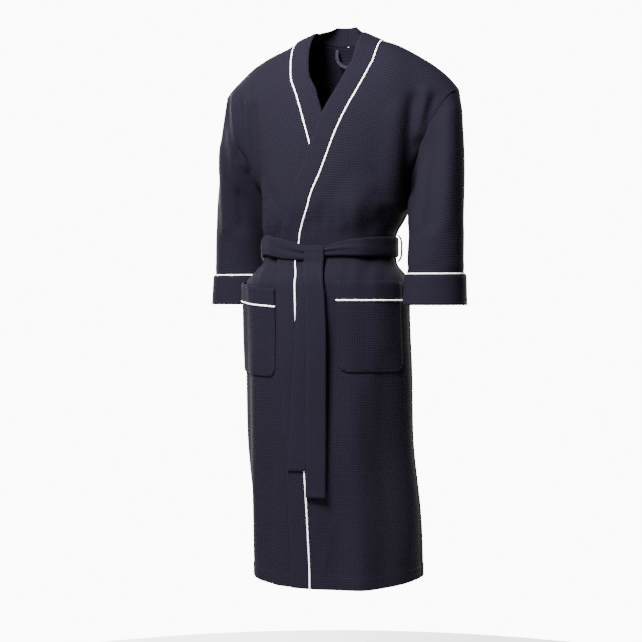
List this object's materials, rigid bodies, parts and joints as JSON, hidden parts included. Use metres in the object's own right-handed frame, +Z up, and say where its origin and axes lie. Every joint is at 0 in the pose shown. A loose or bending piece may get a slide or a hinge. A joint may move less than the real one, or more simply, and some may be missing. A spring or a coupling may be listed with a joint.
{
  "type": "kimono bathrobe",
  "caption": "Knee-length wrap bathrobe of navy waffle cloth with banded front, patch pockets, turned-back cuffs, white piping and a tied belt, in its worn shape.",
  "frame": {"origin": "on the robe's middle line, between the neck ends of the two shoulder ridges, where the shoulders of a wearer or a coat hanger carry the robe", "axes": "+Z up, front of the robe towards -Y, the wearer's left at +X"},
  "size_m": [0.6286, 0.3058, 1.2355],
  "materials": {
    "navy_waffle": "navy cotton waffle cloth, single layer, dry and matt with a faint sheen on the ridges",
    "navy_double": "the same navy waffle cloth folded double and stitched flat",
    "navy_belt": "navy waffle cloth folded double, edges turned in and topstitched",
    "navy_tape": "narrow navy cotton tape",
    "white_tape": "narrow white cotton twill tape",
    "white_label": "plain white woven label with no lettering",
    "white_piping": "bright white corded cotton piping"
  },
  "bodies": {
    "root": {"back_body": "navy_waffle", "left_front_upper": "navy_waffle", "right_front": "navy_waffle", "left_band_upper": "navy_double", "right_band": "navy_double", "left_band_piping_upper": "white_piping", "right_band_piping": "white_piping", "right_pocket": "navy_waffle", "right_pocket_band": "navy_double", "right_pocket_piping": "white_piping", "belt": "navy_belt", "belt_knot": "navy_belt", "left_belt_loop": "navy_tape", "right_belt_loop": "navy_tape", "neck_label": "white_label"},
    "left_sleeve_arm": {"left_sleeve": "navy_waffle", "left_cuff": "navy_double", "left_cuff_piping": "white_piping"},
    "right_sleeve_arm": {"right_sleeve": "navy_waffle", "right_cuff": "navy_double", "right_cuff_piping": "white_piping"},
    "skirt_flap": {"left_front_skirt": "navy_waffle", "left_band_skirt": "navy_double", "left_band_piping_skirt": "white_piping", "left_pocket": "navy_waffle", "left_pocket_band": "navy_double", "left_pocket_piping": "white_piping"},
    "rear_belt_end": {"belt_tail_rear": "navy_belt"},
    "front_belt_end": {"belt_tail_front": "navy_belt"},
    "hanger": {"hanger_loop": "white_tape"}
  },
  "joints": [
    {"name": "left_sleeve_lift", "type": "hinge", "parent": "root", "child": "left_sleeve_arm", "pos_m": [0.2632, 0, -0.129], "axis": [0, -1, 0], "range_deg": [0, 45]},
    {"name": "right_sleeve_lift", "type": "hinge", "parent": "root", "child": "right_sleeve_arm", "pos_m": [-0.2632, 0, -0.129], "axis": [0, 1, 0], "range_deg": [0, 45]},
    {"name": "skirt_flap_swing", "type": "hinge", "parent": "root", "child": "skirt_flap", "pos_m": [0, -0.1325, -0.4885], "axis": [-1, 0, 0], "range_deg": [0, 15]},
    {"name": "rear_belt_end_swing", "type": "hinge", "parent": "skirt_flap", "child": "rear_belt_end", "pos_m": [0, -0.1325, -0.4958], "axis": [-1, 0, 0], "range_deg": [0, 35]},
    {"name": "front_belt_end_swing", "type": "hinge", "parent": "rear_belt_end", "child": "front_belt_end", "pos_m": [0, -0.1325, -0.4958], "axis": [-1, 0, 0], "range_deg": [0, 35]},
    {"name": "hanger_loop_flip", "type": "hinge", "parent": "root", "child": "hanger", "pos_m": [0, 0.0477, -0.0267], "axis": [-1, 0, 0], "range_deg": [0, 160]}
  ]
}
